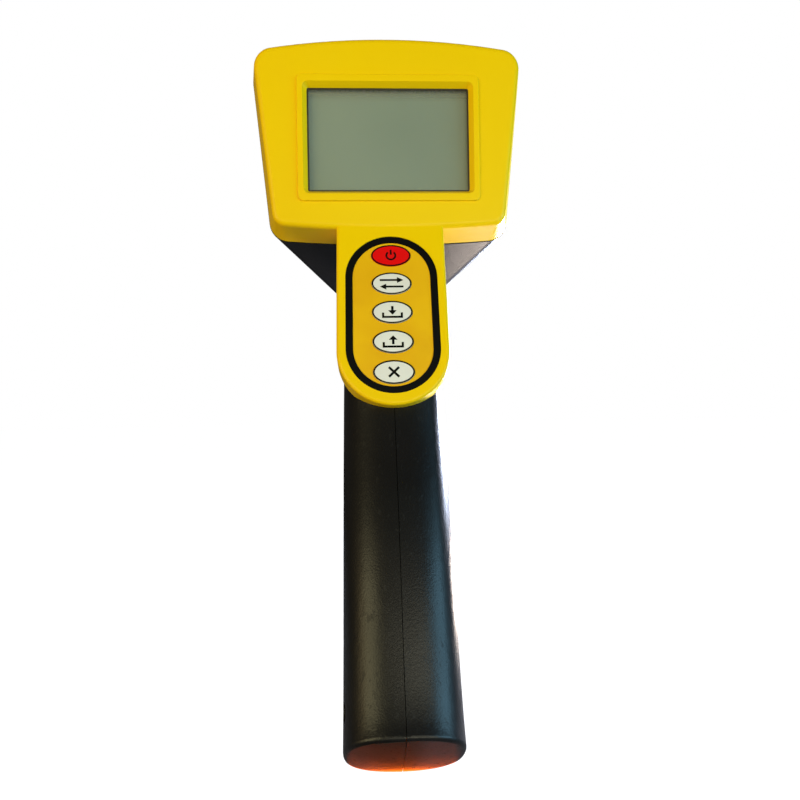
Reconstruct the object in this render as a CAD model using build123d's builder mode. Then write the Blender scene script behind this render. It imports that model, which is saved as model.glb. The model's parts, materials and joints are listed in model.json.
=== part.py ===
from build123d import *

# Display handle of a digital measuring wheel: a yellow front cover over a two-part black housing.
#
# The origin is the centre of the tube socket's mouth and +Y points out of that mouth. +Z is up,
# and +X is to the right of a user who looks along +Y at the display. Sizes are in millimetres.

import os
from math import atan, copysign, cos, degrees, pi, radians, sin, tan

# ---------------------------------------------------------------- driving dimensions
# Head, on planes of constant Y
FACE_Y = -80.0
COVER_DEPTH = 12.0
SEAL_THICK = 0.8
PARTING_Y = FACE_Y + COVER_DEPTH
SHELL_FRONT_Y = PARTING_Y + SEAL_THICK
DISPLAY_Z = 9.7
FACE_TOP_Z = DISPLAY_Z + 38.0
FACE_BOTTOM_Z = DISPLAY_Z - 34.4
FACE_HALF_TOP = 51.1
FACE_HALF_BOTTOM = 43.9
FLARE = 2.8
TOP_SAG = 4.6
BOTTOM_SAG = 2.1
FACE_TOP_RADIUS = 7.0
FACE_BOTTOM_RADIUS = 5.0
FACE_EDGE_RADIUS = 2.2
COVER_WALL = 2.4

# Display
WINDOW = (62.0, 39.6)
WINDOW_RADIUS = 0.8
BEZEL = (69.4, 48.0)
BEZEL_RADIUS = 2.2
BEZEL_RISE = 0.8
BEZEL_SLOPE = 1.5
BEZEL_SLOPE_DEPTH = 2.2
LENS = (66.0, 44.2)
LENS_FRONT = FACE_Y + 1.8
LENS_THICK = 1.4
POCKET_RIM = 1.1
GLASS_FRONT = LENS_FRONT + LENS_THICK + 0.4
GLASS_THICK = 1.1
FRONT_GLASS = (64.6, 43.0)
REAR_GLASS = (64.6, 39.0)
REFLECTOR_THICK = 0.6
HOLDER = (69.6, 48.6)
BOARD_FRONT = FACE_Y + 11.2
BOARD_THICK = 1.6
BOARD = (71.0, 59.0)
BOARD_SCREWS = (65.0, 53.8)
REFLECTOR_FRONT = GLASS_FRONT + 2 * GLASS_THICK
CONTACT_WIDTH = 1.5

# Main board: places are row X and Z, or X and height above the display's middle
BOARD_BACK = BOARD_FRONT + BOARD_THICK
BOARD_BOSS_RADIUS = 2.4
BOARD_HOLE_RADIUS = 1.3
BOARD_SCREW = (2.0, 1.2, 0.95, 6.0)
CONTROLLER = (14.0, 1.6)
CONTROLLER_SPOT = (-14.0, DISPLAY_Z + 8.0)
CONTROLLER_LEG = (0.7, 1.6, 0.6)
CONTROLLER_LEG_PITCH = 1.6
CRYSTAL = (10.5, 4.4, 3.4)
CRYSTAL_SPOT = (4.0, DISPLAY_Z + 12.0)
BUZZER = (6.0, 5.0, 1.1)
BUZZER_SPOT = (22.0, DISPLAY_Z + 14.0)
CHIP = (3.2, 1.6, 0.9)
CHIP_SPOTS = ((-30, 31), (-24, 31), (-18, 31), (-30, 4), (4, 2), (10, 2), (16, 2), (4, 32), (-4, -4))
CAPACITOR = (2.5, 5.4)
CAPACITOR_SPOTS = ((8, -8), (28, -6))
SENSOR_PLUG = (9.0, 5.0, 5.0)
SENSOR_PLUG_SPOT = (-24.0, -8.0)
RIBBON_SOCKET = (16.0, 2.8, 2.2)
RIBBON_SOCKET_SPOT = (0.0, -16.3)

# Key strip: a tongue of the cover on a plane that leans towards the user
STRIP_TILT = 16.0
STRIP_HALF_WIDTH = 20.4
STRIP_END_CENTRE = 49.6
STRIP_DEPTH = 8.5
STRIP_EDGE_RADIUS = 1.3
GRIP_CLEARANCE = 0.15
KEYPAD_CENTRE = 34.6
KEYPAD = (62.4, 34.2)
KEYPAD_RECESS = 1.8
FRAME_BAND = 2.6
FRAME_TOP = 0.3
FILM_TOP = 0.5
FILM_THICK = 0.4
SPACER_THICK = 0.6
FILM_GAP = 0.1
KEY = (14.7, 8.9)
KEY_GAP = 0.15
KEY_PITCH = 11.6
KEY_TOP = 0.3
DOME_RADIUS = 3.4
DOME_HEIGHT = 0.2
KEY_EDGE_RADIUS = 0.15
KEY_NAMES = ("key_power", "key_units", "key_store", "key_recall", "key_clear")
KEY_SPOTS = [(0, -KEYPAD_CENTRE + (2 - step) * KEY_PITCH) for step in range(len(KEY_NAMES))]
CIRCUIT_THICK = KEYPAD_RECESS - FILM_TOP - FILM_THICK - SPACER_THICK
STACK_WIDTH = KEYPAD[1] - 2 * FRAME_BAND - 2 * FILM_GAP
STACK_LENGTH = KEYPAD[0] - 2 * FRAME_BAND - 2 * FILM_GAP
RIBBON = (12.0, 0.3)
RIBBON_DOWN = 7.4
RIBBON_Y = FACE_Y + 7.8

# Housing: funnel, neck and grip
SHELL_LIP = 0.2
SHELL_WALL = 2.4
FUNNEL_WALL = 3.2
FUNNEL_BACK_Y = -24.0
FUNNEL_BACK = (22.0, 19.0, -46.0)
NECK_START_Y = -11.0
NECK_HALF = 17.6
SEAM_GAP = 0.2
RIDGE_DEPTH = 4.5
STRIP_RUN = 66.0
GRIP_TILT = 27.0
GRIP_END_TILT = 42.4
GRIP_LENGTH = 172.6
GRIP_STATIONS = (
    (2.0, STRIP_TILT, 18.4, 45.0),
    (34.0, STRIP_TILT, 18.5, 39.0),
    (STRIP_RUN, 19.5, 18.7, 36.6),
    (98.0, GRIP_TILT, 18.6, 36.4),
    (136.0, GRIP_TILT, 18.4, 37.4),
    (GRIP_LENGTH, GRIP_END_TILT, 18.3, 40.0),
)
GRIP_END_RADIUS = 1.2
SECTION_POINTS = 20
FRONT_POWER = 2.7
BACK_POWER = 2.2

# Tube socket
BORE_RADIUS = 11.1
SLEEVE_RADIUS = 13.6
SLEEVE_DEPTH = 40.0
SLEEVE_FLOOR = 2.4
SLEEVE_FIT = 0.05
JACK_RADIUS = 3.4
RETAINER_RADIUS = 2.0
RETAINER_Y = (-7.0, -17.0)
RETAINER_LENGTH = 5.6
HEX_RADIUS = 1.15
HEX_DEPTH = 2.0
JACK_NUT = (4.6, 2.2)
JACK_HOLE = (1.2, 3.6)
JACK_BACK_Y = -SLEEVE_DEPTH - SLEEVE_FLOOR - JACK_NUT[1]

# Fasteners
SCREW_RADIUS = 1.45
HEAD_RADIUS = 2.8
HEAD_HEIGHT = 2.0
CROSS_WIDTH = 0.8
PILOT_RADIUS = 1.5
CLEAR_RADIUS = 1.75
RECESS_RADIUS = 3.4
BOSS_RADIUS = 5.0
SEAT_X = -9.0
COVER_POSTS = ((-43.0, 36.5), (43.0, 36.5), (-39.5, -14.0), (39.5, -14.0))
POST_RADIUS = 3.8
COVER_SEAT_Y = PARTING_Y + 5.0
GRIP_SCREWS = ((60.0, 19.0, 27.0), (164.0, 33.0, 15.0))
NECK_SCREW = (-21.5, -27.0)

# Battery bay, measured from the grip's ridge
BAY_DISTANCE = 113.0
CELL_RADIUS = 5.25
CELL_LENGTH = 44.5
CELL_PITCH = 11.6
CELL_DEPTH = 23.4
BAY_HALF_LENGTH = 26.0
TRAY_WALL = 1.0
TRAY_HEIGHT = 9.0
PLATE_THICK = 0.4
PLATE = (9.0, 8.0)
CELL_SPOTS = (-CELL_PITCH / 2, CELL_PITCH / 2)
TRAY_FLOOR = CELL_DEPTH - CELL_RADIUS - 0.2
TRAY_LENGTH = 2 * (BAY_HALF_LENGTH + PLATE_THICK)
TRAY_WIDTH = 2 * (CELL_PITCH / 2 + CELL_RADIUS + 0.15)
SPRING_LENGTH = 2 * BAY_HALF_LENGTH - CELL_LENGTH
SPRING_WIRE = 0.5
SPRING_RADIUS = 3.4
SPRING_PITCH = 1.7
SPRING_CONE = -12
DOOR = (25.0, 70.0)
DOOR_GAP = 0.2
DOOR_SCREW_Z = 30.4
DOOR_SEAT = 34.0
LEAD_RADIUS = 0.7
LEAD_START = BAY_DISTANCE - BAY_HALF_LENGTH - PLATE_THICK - TRAY_WALL - 0.2
LEAD_OPENING = (27.0, 6.4)
LEAD_OPENING_Y = -57.4
LEAD_OPENING_Z = (-33.5, -26.0)

FAR = 120.0
os.makedirs("parts", exist_ok=True)

# ---------------------------------------------------------------- shared planes
STRIP = Plane(
    origin=(0, FACE_Y, FACE_BOTTOM_Z),
    x_dir=(1, 0, 0),
    z_dir=(0, -cos(radians(STRIP_TILT)), sin(radians(STRIP_TILT))),
)


def head_plane(y):
    """Plane of constant Y that faces the user: sketch x and y are row X and Z."""
    return Plane.XZ.offset(-y)


def ridge_point(distance):
    """Point of the grip's front ridge, at a distance from the bend under the head."""
    start = STRIP.from_local_coords((0, -min(distance, STRIP_RUN), -RIDGE_DEPTH))
    tilt = radians(GRIP_TILT)
    return start + Vector(0, -sin(tilt), -cos(tilt)) * max(0.0, distance - STRIP_RUN)


def grip_plane(distance, tilt=GRIP_TILT):
    """Cross-section of the grip: sketch y points to the user, and the normal down the grip."""
    lean = radians(tilt)
    return Plane(origin=ridge_point(distance), x_dir=(1, 0, 0), z_dir=(0, -sin(lean), -cos(lean)))


BAY = grip_plane(BAY_DISTANCE)


def bay_plane(depth):
    """Plane across the battery bay: its normal leaves the grip's back, its y is down the grip."""
    return Plane(
        origin=BAY.from_local_coords((0, -depth, 0)), x_dir=(1, 0, 0), z_dir=-BAY.y_dir
    )


# ---------------------------------------------------------------- shared outlines and volumes
def crowned(half_top, half_bottom, top, bottom, sags, radii):
    """Trapezoid with crowned top and bottom edges and rounded corners, as (top, bottom) pairs."""
    with BuildSketch() as outline:
        with BuildLine():
            crown = ThreePointArc((-half_top, top - sags[0]), (0, top), (half_top, top - sags[0]))
            sole = ThreePointArc(
                (half_bottom, bottom + sags[1]), (0, bottom), (-half_bottom, bottom + sags[1])
            )
            Line(crown @ 1, sole @ 0)
            Line(sole @ 1, crown @ 0)
        make_face()
        fillet(outline.vertices().group_by(Axis.Y)[-1], radii[0])
        fillet(outline.vertices().group_by(Axis.Y)[0], radii[1])
    return outline.sketch


def head_outline(grow):
    """The head's outline: the face's own, grown outwards."""
    return crowned(
        FACE_HALF_TOP + grow,
        FACE_HALF_BOTTOM + grow,
        FACE_TOP_Z + grow,
        FACE_BOTTOM_Z - grow,
        (TOP_SAG, BOTTOM_SAG),
        (max(FACE_TOP_RADIUS + grow, 2), max(FACE_BOTTOM_RADIUS + grow, 2)),
    )


def strip_outline(grow, top):
    """The key strip's outline: straight sides and a round lower end."""
    half = STRIP_HALF_WIDTH + grow
    with BuildSketch() as outline:
        with BuildLine():
            end = ThreePointArc(
                (half, -STRIP_END_CENTRE), (0, -STRIP_END_CENTRE - half), (-half, -STRIP_END_CENTRE)
            )
            Polyline(end @ 1, (-half, top), (half, top), end @ 0)
        make_face()
    return outline.sketch


def grip_section(half_width, depth, wall):
    """Oval with a flatter front: a superellipse of one power in front and another behind."""
    points = []
    for step in range(SECTION_POINTS):
        angle = 2 * pi * step / SECTION_POINTS
        power = FRONT_POWER if sin(angle) > 0 else BACK_POWER
        across = copysign(abs(cos(angle)) ** (2 / power), cos(angle))
        along = copysign(abs(sin(angle)) ** (2 / power), sin(angle))
        points.append(((half_width - wall) * across, (depth / 2 - wall) * along - depth / 2))
    with BuildSketch() as section:
        with BuildLine():
            Spline(*points, periodic=True)
        make_face()
    return section.sketch


def grip_column(wall):
    """The grip's column through its stations, thinner all round by wall."""
    with BuildPart() as column:
        for distance, tilt, half_width, depth in GRIP_STATIONS:
            first = distance == GRIP_STATIONS[0][0]
            last = distance == GRIP_LENGTH
            shift = -wall if last or (first and wall) else 0
            with BuildSketch(grip_plane(distance + shift, tilt)):
                add(grip_section(half_width, depth, wall))
        loft()
        if not wall:
            fillet(column.faces().sort_by(Axis.Z)[0].edges(), GRIP_END_RADIUS)
    return column.part


def funnel(wall):
    """The tapering back of the head, thinner all round by wall."""
    half, top, bottom = FUNNEL_BACK
    grow = FLARE + SHELL_LIP - wall
    with BuildPart() as taper:
        with BuildSketch(head_plane(SHELL_FRONT_Y)):
            add(head_outline(grow))
        with BuildSketch(head_plane(FUNNEL_BACK_Y - wall)):
            add(
                crowned(half - wall, half - wall, top - wall, bottom + wall, (3, 3), (9, 9)),
            )
        loft(ruled=True)
    return taper.part


def neck():
    """The housing's run from the funnel's back to the tube socket's mouth."""
    half, top, bottom = FUNNEL_BACK
    collar = crowned(NECK_HALF, NECK_HALF, NECK_HALF, -NECK_HALF, (4, 4), (11, 11))
    with BuildPart() as run:
        with BuildSketch(head_plane(FUNNEL_BACK_Y)):
            add(crowned(half, half, top, bottom, (3, 3), (9, 9)))
        with BuildSketch(head_plane(NECK_START_Y)):
            add(collar)
        loft(ruled=True)
        with BuildSketch(head_plane(0)):
            add(collar)
        extrude(amount=-NECK_START_Y)
        chamfer(run.faces().sort_by(Axis.Y)[-1].edges(), 0.8)
    return run.part


def whole_body():
    """Everything inside the housing's outer surface."""
    with BuildPart() as body:
        add(funnel(0))
        add(neck())
        add(grip_column(0))
    return body.part


def screw(seat, length):
    """Pan-head screw with a cross recess; seat is the plane under its head, facing outwards."""
    with BuildPart() as fastener:
        with BuildSketch(seat):
            Circle(HEAD_RADIUS)
        extrude(amount=HEAD_HEIGHT)
        crown = fastener.faces().sort_by(Axis(seat.origin, seat.z_dir))[-1]
        fillet(crown.edges(), 0.7)
        with BuildSketch(seat.offset(HEAD_HEIGHT)):
            Rectangle(1.3 * HEAD_RADIUS, CROSS_WIDTH)
            Rectangle(CROSS_WIDTH, 1.3 * HEAD_RADIUS)
        extrude(amount=-1.2, mode=Mode.SUBTRACT)
        with BuildSketch(seat):
            Circle(SCREW_RADIUS)
        extrude(amount=-length)
    return fastener.part


def wire(*points):
    """Round lead along straight runs joined by arcs as large as the runs allow."""
    runs = [Vector(b) - Vector(a) for a, b in zip(points, points[1:])]
    radii = []
    for before, after in zip(runs, runs[1:]):
        half_turn = radians(before.get_angle(after)) / 2
        radii.append(0.45 * min(before.length, after.length) / tan(half_turn))
    with BuildPart() as lead:
        with BuildLine():
            route = FilletPolyline(*points, radius=radii)
        with BuildSketch(Plane(origin=route @ 0, z_dir=route % 0)):
            Circle(LEAD_RADIUS)
        sweep(path=route)
    return lead.part


def grip_point(x, distance, depth, tilt=GRIP_TILT):
    """Point inside the grip, behind its ridge by depth."""
    return grip_plane(distance, tilt).from_local_coords((x, -depth, 0))


def side_plane(point, x):
    """Plane of constant X that faces left, centred on a point."""
    return Plane(origin=(x, point.Y, point.Z), x_dir=(0, -1, 0), z_dir=(-1, 0, 0))


HOUSING_SCREWS = [grip_point(0, distance, depth, tilt) for distance, tilt, depth in GRIP_SCREWS]
HOUSING_SCREWS.append(Vector(0, *NECK_SCREW))
BODY = whole_body()

# ---------------------------------------------------------------- front cover
with BuildPart() as tongue:
    with BuildSketch(STRIP):
        add(strip_outline(0, 3.0))
    extrude(amount=-STRIP_DEPTH)
    strip_face = tongue.faces().sort_by(Axis(STRIP.origin, STRIP.z_dir))[-1]
    fillet(strip_face.edges().sort_by(Axis.Z)[:-1], STRIP_EDGE_RADIUS)
    add(grip_column(-GRIP_CLEARANCE), mode=Mode.SUBTRACT)
    with BuildSketch(STRIP):
        with Locations((0, -KEYPAD_CENTRE)):
            SlotOverall(*KEYPAD, rotation=90)
    extrude(amount=-KEYPAD_RECESS, mode=Mode.SUBTRACT)
    with BuildSketch(STRIP):
        with Locations((0, -RIBBON_DOWN)):
            Rectangle(RIBBON[0] + 1, 1.2)
    extrude(amount=-RIDGE_DEPTH - 1, mode=Mode.SUBTRACT)

with BuildPart() as front_cover:
    with BuildSketch(head_plane(FACE_Y)):
        add(head_outline(0))
    with BuildSketch(head_plane(PARTING_Y)):
        add(head_outline(FLARE))
    loft(ruled=True)
    fillet(front_cover.faces().sort_by(Axis.Y)[0].edges(), FACE_EDGE_RADIUS)
    with BuildSketch(head_plane(FACE_Y + COVER_WALL)):
        add(head_outline(FLARE * COVER_WALL / COVER_DEPTH - COVER_WALL))
    with BuildSketch(head_plane(PARTING_Y)):
        add(head_outline(FLARE - COVER_WALL))
    loft(ruled=True, mode=Mode.SUBTRACT)
    # posts for the cover screws, and bosses for the board, lens pocket and bezel
    with BuildSketch(head_plane(PARTING_Y)):
        with Locations(*COVER_POSTS):
            Circle(POST_RADIUS)
    extrude(amount=COVER_DEPTH - COVER_WALL)
    with BuildSketch(head_plane(BOARD_FRONT)):
        with Locations((0, DISPLAY_Z)):
            with GridLocations(*BOARD_SCREWS, 2, 2):
                Circle(BOARD_BOSS_RADIUS)
    extrude(amount=BOARD_FRONT - FACE_Y - COVER_WALL)
    with BuildSketch(head_plane(FACE_Y + COVER_WALL + POCKET_RIM)):
        with Locations((0, DISPLAY_Z)):
            RectangleRounded(LENS[0] + 2 * POCKET_RIM, LENS[1] + 2 * POCKET_RIM, 1.5)
    extrude(amount=POCKET_RIM)
    with BuildSketch(head_plane(FACE_Y)):
        with Locations((0, DISPLAY_Z)):
            RectangleRounded(*BEZEL, BEZEL_RADIUS)
    extrude(amount=BEZEL_RISE)
    fillet(front_cover.faces().sort_by(Axis.Y)[0].edges(), 0.4)
    # window with sloping sides, and the lens pocket behind it
    with BuildSketch(head_plane(FACE_Y - BEZEL_RISE + BEZEL_SLOPE_DEPTH)):
        with Locations((0, DISPLAY_Z)):
            RectangleRounded(*WINDOW, WINDOW_RADIUS)
    extrude(
        amount=BEZEL_SLOPE_DEPTH,
        taper=-degrees(atan(BEZEL_SLOPE / BEZEL_SLOPE_DEPTH)),
        mode=Mode.SUBTRACT,
    )
    with BuildSketch(head_plane(FACE_Y)):
        with Locations((0, DISPLAY_Z)):
            RectangleRounded(*WINDOW, WINDOW_RADIUS)
    extrude(amount=-COVER_WALL, mode=Mode.SUBTRACT)
    with BuildSketch(head_plane(LENS_FRONT)):
        with Locations((0, DISPLAY_Z)):
            RectangleRounded(LENS[0] + 0.2, LENS[1] + 0.2, 1)
    extrude(amount=-COVER_WALL, mode=Mode.SUBTRACT)
    # pilot holes
    with BuildSketch(head_plane(PARTING_Y)):
        with Locations(*COVER_POSTS):
            Circle(PILOT_RADIUS)
    extrude(amount=COVER_DEPTH - COVER_WALL - 0.6, mode=Mode.SUBTRACT)
    with BuildSketch(head_plane(BOARD_FRONT)):
        with Locations((0, DISPLAY_Z)):
            with GridLocations(*BOARD_SCREWS, 2, 2):
                Circle(1.0)
    extrude(amount=6.5, mode=Mode.SUBTRACT)
    # the key strip, and the ribbon's way past the bottom wall
    add(tongue.part)
    with BuildSketch(Plane.XY.offset(FACE_BOTTOM_Z - 7)):
        with Locations((0, RIBBON_Y)):
            Rectangle(RIBBON[0] + 2, 3.8)
    extrude(amount=11, mode=Mode.SUBTRACT)
front_cover.part.label = "front_cover"
export_step(front_cover.part, "parts/front_cover.step")


# ---------------------------------------------------------------- housing halves
with BuildPart() as housing:
    add(BODY)
    add(funnel(FUNNEL_WALL), mode=Mode.SUBTRACT)
    add(grip_column(SHELL_WALL), mode=Mode.SUBTRACT)

with BuildPart() as bosses:
    for point in HOUSING_SCREWS:
        with BuildSketch(side_plane(point, 0)):
            Circle(BOSS_RADIUS)
        extrude(amount=FAR / 2, both=True)
    with BuildSketch(head_plane(SHELL_FRONT_Y)):
        with Locations(*COVER_POSTS):
            Circle(POST_RADIUS + 0.6)
    extrude(amount=-COVER_DEPTH)
    with BuildSketch(head_plane(-SLEEVE_DEPTH + 2)):
        Circle(SLEEVE_RADIUS + 2.4)
    extrude(amount=-SLEEVE_DEPTH / 2)
    add(BODY, mode=Mode.INTERSECT)

with BuildPart() as door_block:
    with BuildSketch(bay_plane(CELL_DEPTH)):
        Rectangle(*DOOR)
    extrude(amount=FAR / 4)

with BuildPart() as shell:
    add(housing.part)
    add(bosses.part)
    # bore for the socket sleeve, and the holes of its retaining screws
    with BuildSketch(head_plane(0)):
        Circle(SLEEVE_RADIUS + SLEEVE_FIT)
    extrude(amount=SLEEVE_DEPTH + SLEEVE_FLOOR + 3, mode=Mode.SUBTRACT)
    for y in RETAINER_Y:
        with BuildSketch(Plane(origin=(0, y, 0), x_dir=(0, 1, 0), z_dir=(1, 0, 0))):
            Circle(RETAINER_RADIUS + 0.1)
        extrude(amount=FAR / 4, mode=Mode.SUBTRACT)
    # cover screws: seats on the funnel's back, and clearance through the posts
    with BuildSketch(head_plane(COVER_SEAT_Y)):
        with Locations(*COVER_POSTS):
            Circle(HEAD_RADIUS + 0.3)
    extrude(amount=-COVER_DEPTH, mode=Mode.SUBTRACT)
    with BuildSketch(head_plane(SHELL_FRONT_Y)):
        with Locations(*COVER_POSTS):
            Circle(CLEAR_RADIUS)
    extrude(amount=-COVER_DEPTH, mode=Mode.SUBTRACT)
    # housing screws: recess and clearance on the left, pilot on the right
    for point in HOUSING_SCREWS:
        with BuildSketch(side_plane(point, SEAT_X)):
            Circle(RECESS_RADIUS)
        extrude(amount=FAR / 2, mode=Mode.SUBTRACT)
        with BuildSketch(side_plane(point, 0)):
            Circle(CLEAR_RADIUS)
        extrude(amount=-SEAT_X, mode=Mode.SUBTRACT)
        with BuildSketch(side_plane(point, 0)):
            Circle(PILOT_RADIUS)
        extrude(amount=SEAT_X - 2, mode=Mode.SUBTRACT)
    # the ribbon's notch at the top of the ridge
    with BuildSketch(STRIP.offset(-RIDGE_DEPTH + 2)):
        with Locations((0, -4)):
            Rectangle(15, 12)
    extrude(amount=-6, mode=Mode.SUBTRACT)
    # the battery leads' opening between the head and the grip
    with BuildSketch(Plane.XY.offset(LEAD_OPENING_Z[1])):
        with Locations((0, LEAD_OPENING_Y)):
            Rectangle(*LEAD_OPENING)
    extrude(amount=LEAD_OPENING_Z[0] - LEAD_OPENING_Z[1], mode=Mode.SUBTRACT)
    add(door_block.part, mode=Mode.SUBTRACT)

with BuildPart() as left_housing:
    add(shell.part)
    split(bisect_by=Plane.YZ.offset(-SEAM_GAP / 2), keep=Keep.BOTTOM)
left_housing.part.label = "left_housing"
export_step(left_housing.part, "parts/left_housing.step")

with BuildPart() as right_housing:
    add(shell.part)
    split(bisect_by=Plane.YZ.offset(SEAM_GAP / 2), keep=Keep.TOP)
right_housing.part.label = "right_housing"
export_step(right_housing.part, "parts/right_housing.step")

with BuildPart() as housing_screws:
    for point in HOUSING_SCREWS:
        add(screw(side_plane(point, SEAT_X), 18.0))
housing_screws.part.label = "housing_screws"
export_step(housing_screws.part, "parts/housing_screws.step")

with BuildPart() as cover_screws:
    for x, z in COVER_POSTS:
        seat = Plane(origin=(x, COVER_SEAT_Y, z), x_dir=(1, 0, 0), z_dir=(0, 1, 0))
        add(screw(seat, 12.0))
cover_screws.part.label = "cover_screws"
export_step(cover_screws.part, "parts/cover_screws.step")

with BuildPart() as cover_seal:
    with BuildSketch(head_plane(SHELL_FRONT_Y)):
        add(head_outline(FLARE - 0.2))
        add(head_outline(FLARE - COVER_WALL + 0.2), mode=Mode.SUBTRACT)
    extrude(amount=SEAL_THICK)
cover_seal.part.label = "cover_seal"
export_step(cover_seal.part, "parts/cover_seal.step")

# ---------------------------------------------------------------- tube socket
with BuildPart() as tube_socket:
    with BuildSketch(head_plane(0)):
        Circle(SLEEVE_RADIUS)
    extrude(amount=SLEEVE_DEPTH + SLEEVE_FLOOR)
    with BuildSketch(head_plane(0)):
        Circle(BORE_RADIUS)
    extrude(amount=SLEEVE_DEPTH, mode=Mode.SUBTRACT)
    with BuildSketch(head_plane(-SLEEVE_DEPTH)):
        Circle(JACK_RADIUS)
    extrude(amount=SLEEVE_FLOOR, mode=Mode.SUBTRACT)
    for y in RETAINER_Y:
        with BuildSketch(Plane(origin=(0, y, 0), x_dir=(0, 1, 0), z_dir=(1, 0, 0))):
            Circle(RETAINER_RADIUS)
        extrude(amount=FAR / 4, mode=Mode.SUBTRACT)
tube_socket.part.label = "tube_socket"
export_step(tube_socket.part, "parts/tube_socket.step")

with BuildPart() as retainer_screws:
    for y in RETAINER_Y:
        seat = Plane(origin=(BORE_RADIUS + 0.2, y, 0), x_dir=(0, 1, 0), z_dir=(1, 0, 0))
        with BuildSketch(seat):
            Circle(RETAINER_RADIUS)
        extrude(amount=RETAINER_LENGTH)
        with BuildSketch(seat.offset(RETAINER_LENGTH)):
            RegularPolygon(HEX_RADIUS, 6)
        extrude(amount=-HEX_DEPTH, mode=Mode.SUBTRACT)
retainer_screws.part.label = "retainer_screws"
export_step(retainer_screws.part, "parts/retainer_screws.step")

with BuildPart() as sensor_jack:
    with BuildSketch(head_plane(-SLEEVE_DEPTH)):
        Circle(JACK_RADIUS)
    extrude(amount=SLEEVE_FLOOR)
    with BuildSketch(head_plane(-SLEEVE_DEPTH - SLEEVE_FLOOR)):
        RegularPolygon(JACK_NUT[0], 6)
    extrude(amount=JACK_NUT[1])
    with BuildSketch(head_plane(-SLEEVE_DEPTH)):
        Circle(JACK_HOLE[0])
    extrude(amount=JACK_HOLE[1], mode=Mode.SUBTRACT)
sensor_jack.part.label = "sensor_jack"
export_step(sensor_jack.part, "parts/sensor_jack.step")

# ---------------------------------------------------------------- display
with BuildPart() as window_lens:
    with BuildSketch(head_plane(LENS_FRONT + LENS_THICK)):
        with Locations((0, DISPLAY_Z)):
            RectangleRounded(*LENS, 0.9)
    extrude(amount=LENS_THICK)
window_lens.part.label = "window_lens"
export_step(window_lens.part, "parts/window_lens.step")

with BuildPart() as lcd_front_glass:
    with BuildSketch(head_plane(GLASS_FRONT + GLASS_THICK)):
        with Locations((0, DISPLAY_Z)):
            Rectangle(*FRONT_GLASS)
    extrude(amount=GLASS_THICK)
lcd_front_glass.part.label = "lcd_front_glass"
export_step(lcd_front_glass.part, "parts/lcd_front_glass.step")

with BuildPart() as lcd_rear_glass:
    with BuildSketch(head_plane(GLASS_FRONT + 2 * GLASS_THICK)):
        with Locations((0, DISPLAY_Z)):
            Rectangle(*REAR_GLASS)
    extrude(amount=GLASS_THICK)
lcd_rear_glass.part.label = "lcd_rear_glass"
export_step(lcd_rear_glass.part, "parts/lcd_rear_glass.step")

with BuildPart() as lcd_reflector:
    with BuildSketch(head_plane(REFLECTOR_FRONT + REFLECTOR_THICK)):
        with Locations((0, DISPLAY_Z)):
            Rectangle(*REAR_GLASS)
    extrude(amount=REFLECTOR_THICK)
lcd_reflector.part.label = "lcd_reflector"
export_step(lcd_reflector.part, "parts/lcd_reflector.step")

with BuildPart() as lcd_holder:
    with BuildSketch(head_plane(BOARD_FRONT)):
        with Locations((0, DISPLAY_Z)):
            RectangleRounded(*HOLDER, 1)
            Rectangle(FRONT_GLASS[0] + 0.2, FRONT_GLASS[1] + 0.2, mode=Mode.SUBTRACT)
    extrude(amount=BOARD_FRONT - GLASS_FRONT)
    with BuildSketch(head_plane(BOARD_FRONT)):
        with Locations((0, DISPLAY_Z)):
            Rectangle(FRONT_GLASS[0] + 1, REAR_GLASS[1] - 1)
            Rectangle(REAR_GLASS[0] - 8, REAR_GLASS[1] - 8, mode=Mode.SUBTRACT)
    extrude(amount=BOARD_FRONT - REFLECTOR_FRONT - REFLECTOR_THICK)
lcd_holder.part.label = "lcd_holder"
export_step(lcd_holder.part, "parts/lcd_holder.step")

with BuildPart() as contact_strips:
    with BuildSketch(head_plane(BOARD_FRONT)):
        with Locations((0, DISPLAY_Z)):
            with GridLocations(0, FRONT_GLASS[1] - 1.8, 1, 2):
                Rectangle(FRONT_GLASS[0] - 2, CONTACT_WIDTH)
    extrude(amount=BOARD_FRONT - GLASS_FRONT - GLASS_THICK)
contact_strips.part.label = "contact_strips"
export_step(contact_strips.part, "parts/contact_strips.step")

# ---------------------------------------------------------------- main board
with BuildPart() as main_board:
    with BuildSketch(head_plane(BOARD_BACK)):
        with Locations((0, DISPLAY_Z)):
            Rectangle(*BOARD)
            with GridLocations(*BOARD_SCREWS, 2, 2):
                Circle(BOARD_HOLE_RADIUS, mode=Mode.SUBTRACT)
    extrude(amount=BOARD_THICK)
main_board.part.label = "main_board"
export_step(main_board.part, "parts/main_board.step")

with BuildPart() as board_screws:
    for x in (-BOARD_SCREWS[0] / 2, BOARD_SCREWS[0] / 2):
        for z in (-BOARD_SCREWS[1] / 2, BOARD_SCREWS[1] / 2):
            seat = Plane(
                origin=(x, BOARD_BACK, DISPLAY_Z + z), x_dir=(1, 0, 0), z_dir=(0, 1, 0)
            )
            with BuildSketch(seat):
                Circle(BOARD_SCREW[0])
            extrude(amount=BOARD_SCREW[1])
            with BuildSketch(seat):
                Circle(BOARD_SCREW[2])
            extrude(amount=-BOARD_SCREW[3])
board_screws.part.label = "board_screws"
export_step(board_screws.part, "parts/board_screws.step")

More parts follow.
